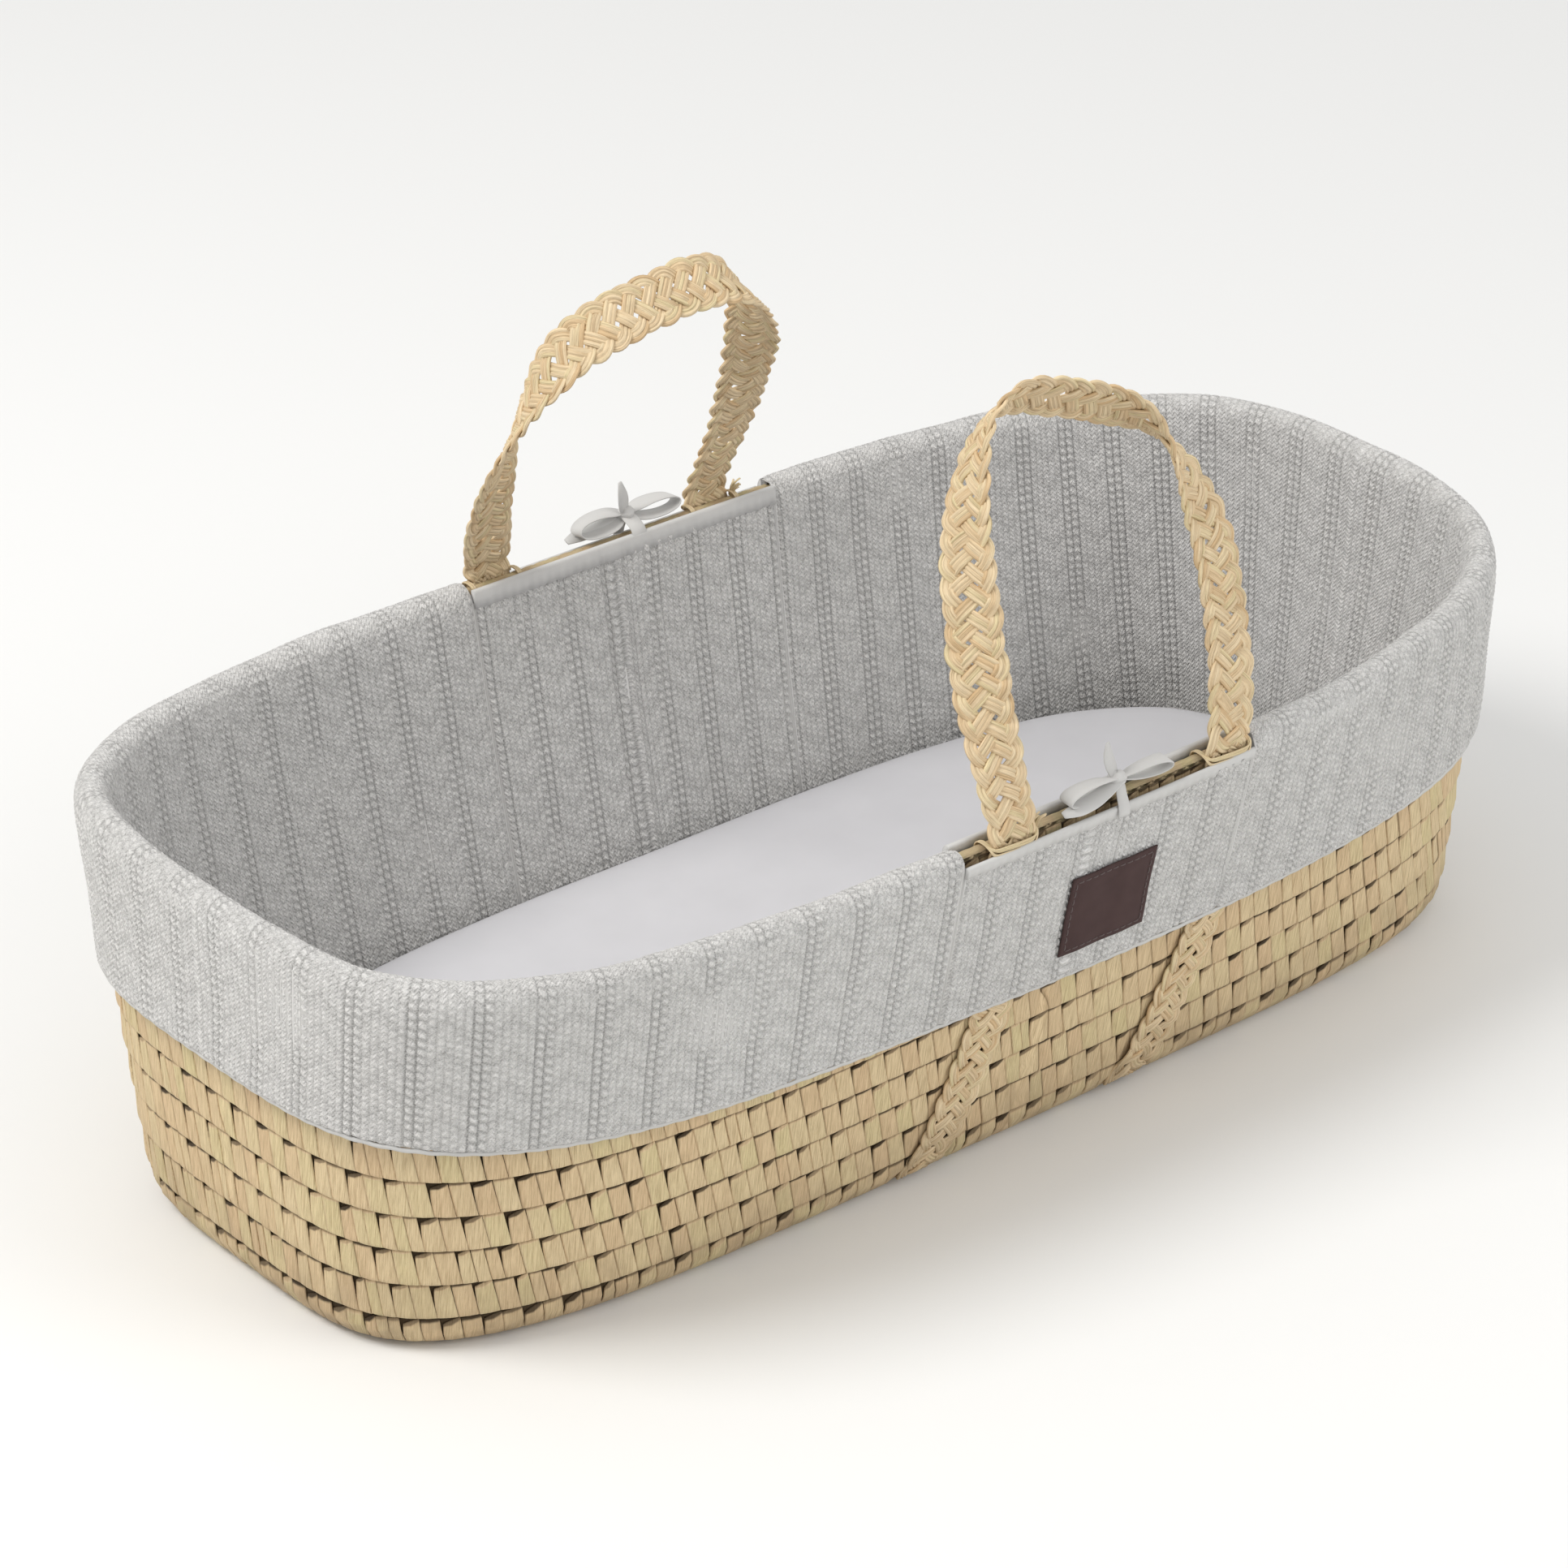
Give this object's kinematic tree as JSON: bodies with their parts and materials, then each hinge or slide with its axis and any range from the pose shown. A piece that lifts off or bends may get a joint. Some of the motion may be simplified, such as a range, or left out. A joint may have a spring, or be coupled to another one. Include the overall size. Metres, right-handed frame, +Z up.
{
  "type": "moses basket",
  "caption": "Woven palm baby basket with leaning plaited strap handles, a padded cable-knit cover tied with bows, and a fitted mattress.",
  "frame": {"origin": "middle of the flat underside, halfway along and across the rim outline", "axes": "+Z up, +X towards the head end, -Y towards the side with the label"},
  "size_m": [0.8358, 0.4108, 0.4365],
  "materials": {
    "palm_weave": "matt dried palm leaf, plaited flat, straw coloured with darker gaps",
    "palm_plait": "matt golden plaited palm strap",
    "cable_knit": "soft matt cable knit, pale warm grey",
    "cotton_trim": "smooth plain cotton, pale grey",
    "wadding": "soft white wadding",
    "label": "dark plum-brown matt patch, blank",
    "label_thread": "dark sewing thread",
    "foam": "cream foam",
    "ticking": "white quilted ticking",
    "sheet": "smooth jersey, very pale lavender grey"
  },
  "bodies": {
    "basket": {"base_panel": "palm_weave", "wall_course_01": "palm_weave", "wall_course_02": "palm_weave", "wall_course_03": "palm_weave", "wall_course_04": "palm_weave", "wall_course_05": "palm_weave", "wall_course_06": "palm_weave", "wall_course_07": "palm_weave", "wall_course_08": "palm_weave", "wall_course_09": "palm_weave", "wall_course_10": "palm_weave", "rim_binding": "palm_plait", "strap_foot": "palm_plait", "strap_head": "palm_plait", "lashing_near_foot": "palm_plait", "lashing_near_head": "palm_plait", "lashing_far_foot": "palm_plait", "lashing_far_head": "palm_plait", "cover_foot_panel": "cable_knit", "cover_head_panel": "cable_knit", "cover_near_skirt": "cable_knit", "cover_near_lining": "cable_knit", "cover_far_skirt": "cable_knit", "cover_far_lining": "cable_knit", "cover_floor": "cotton_trim", "binding_near_skirt": "cotton_trim", "binding_near_lining": "cotton_trim", "binding_far_skirt": "cotton_trim", "binding_far_lining": "cotton_trim", "hem_elastic": "cotton_trim", "padding_foot": "wadding", "padding_head": "wadding", "padding_near": "wadding", "padding_far": "wadding", "tie_near_skirt": "cotton_trim", "tie_near_lining": "cotton_trim", "tie_far_skirt": "cotton_trim", "tie_far_lining": "cotton_trim", "label_patch": "label", "label_stitches": "label_thread"},
    "handle_near": {"handle_near": "palm_plait"},
    "handle_far": {"handle_far": "palm_plait"},
    "mattress": {"mattress_core": "foam", "mattress_ticking": "ticking", "fitted_sheet": "sheet", "sheet_elastic": "cotton_trim"}
  },
  "joints": [
    {"name": "near_handle_hinge", "type": "hinge", "parent": "basket", "child": "handle_near", "pos_m": [0.023, -0.2007, 0.232], "axis": [-1, 0, 0], "range_deg": [-120, 38]},
    {"name": "far_handle_hinge", "type": "hinge", "parent": "basket", "child": "handle_far", "pos_m": [0.001, 0.2007, 0.232], "axis": [1, 0, 0], "range_deg": [-125, 33]},
    {"name": "mattress_lift", "type": "slide", "parent": "basket", "child": "mattress", "axis": [0, 0, 1], "range_m": [0, 0.18]}
  ]
}
